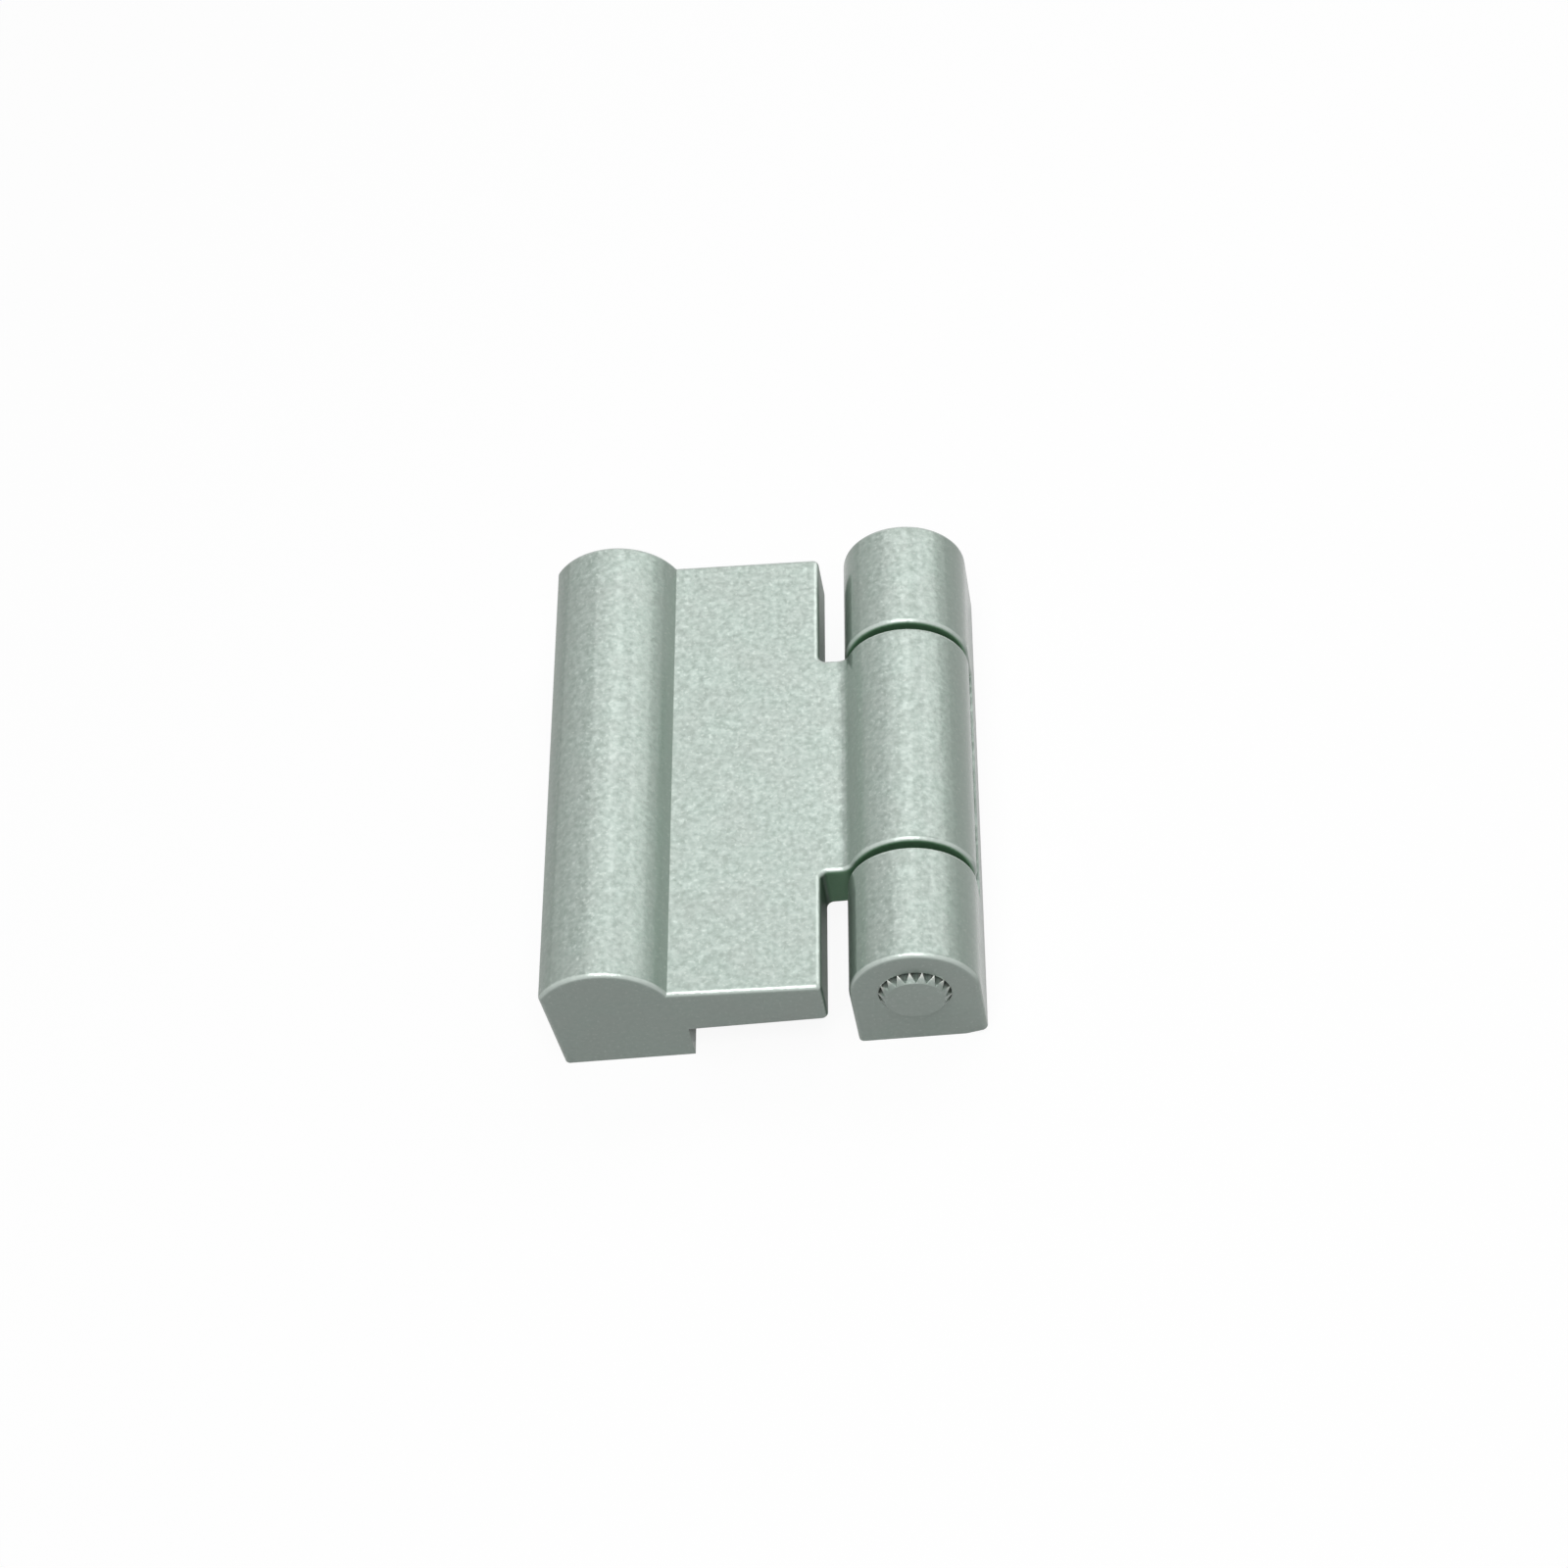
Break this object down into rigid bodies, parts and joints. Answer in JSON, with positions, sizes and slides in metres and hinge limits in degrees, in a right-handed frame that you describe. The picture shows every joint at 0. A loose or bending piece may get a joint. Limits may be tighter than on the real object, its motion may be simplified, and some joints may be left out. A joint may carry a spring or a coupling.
{
  "type": "cabinet hinge",
  "caption": "Surface-mounted cabinet hinge: a door leaf with a round bead swings on a knurled pin held in the end knuckles of a frame leaf, both screwed on from behind.",
  "frame": {"origin": "centre of the frame leaf's mounting face, straight under the pin's axis", "axes": "+Y along the pin from its knurled head to its tail, +Z away from the mounting surface, -X towards the door leaf"},
  "size_m": [0.0475, 0.0609, 0.0166],
  "materials": {
    "coated_zinc": "metallic silver-green powder coat with a fine sparkle, satin",
    "pin_steel": "plain turned steel, its knurled end coated with the leaves"
  },
  "bodies": {
    "frame_leaf": {"frame_leaf": "coated_zinc", "hinge_pin": "pin_steel"},
    "door_leaf": {"door_leaf": "coated_zinc"}
  },
  "joints": [
    {"name": "door_swing", "type": "hinge", "parent": "frame_leaf", "child": "door_leaf", "pos_m": [0, 0, 0.0087], "axis": [0, 1, 0], "range_deg": [0, 180]}
  ]
}
